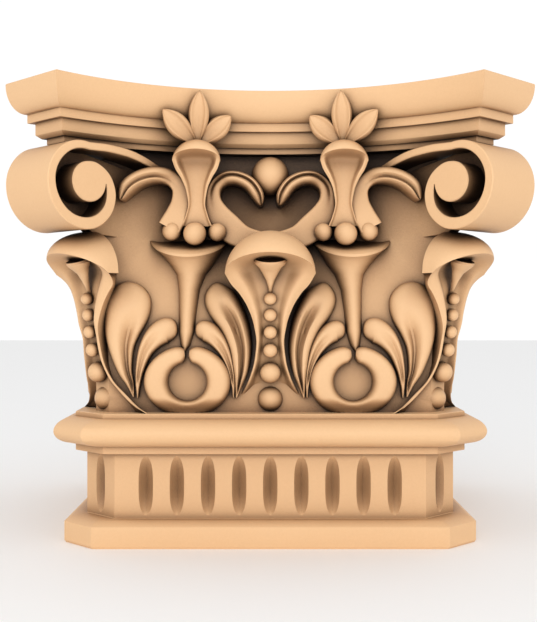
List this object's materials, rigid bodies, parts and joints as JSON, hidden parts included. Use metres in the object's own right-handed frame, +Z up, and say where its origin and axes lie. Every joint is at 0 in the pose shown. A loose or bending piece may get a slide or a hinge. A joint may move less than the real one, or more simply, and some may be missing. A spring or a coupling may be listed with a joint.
{
  "type": "corinthian capital",
  "caption": "Carved Corinthian capital for a square pillar: fluted base, leafy bell with corner scrolls, hollow-sided moulded abacus.",
  "frame": {"origin": "middle of the underside of the base, where the capital stands on its pillar", "axes": "+Z up the pillar's axis; one carved side faces -Y, and the corner scrolls point along the diagonals of X and Y"},
  "size_m": [0.3, 0.3, 0.2624],
  "materials": {
    "base_wood": "fine-sanded pale wood, matt, uniform",
    "bell_wood": "carved pale wood, matt, darker in the cuts",
    "abacus_wood": "fine-sanded pale wood, matt, uniform"
  },
  "bodies": {
    "root": {"base": "base_wood", "bell": "bell_wood", "abacus": "abacus_wood"}
  },
  "joints": []
}
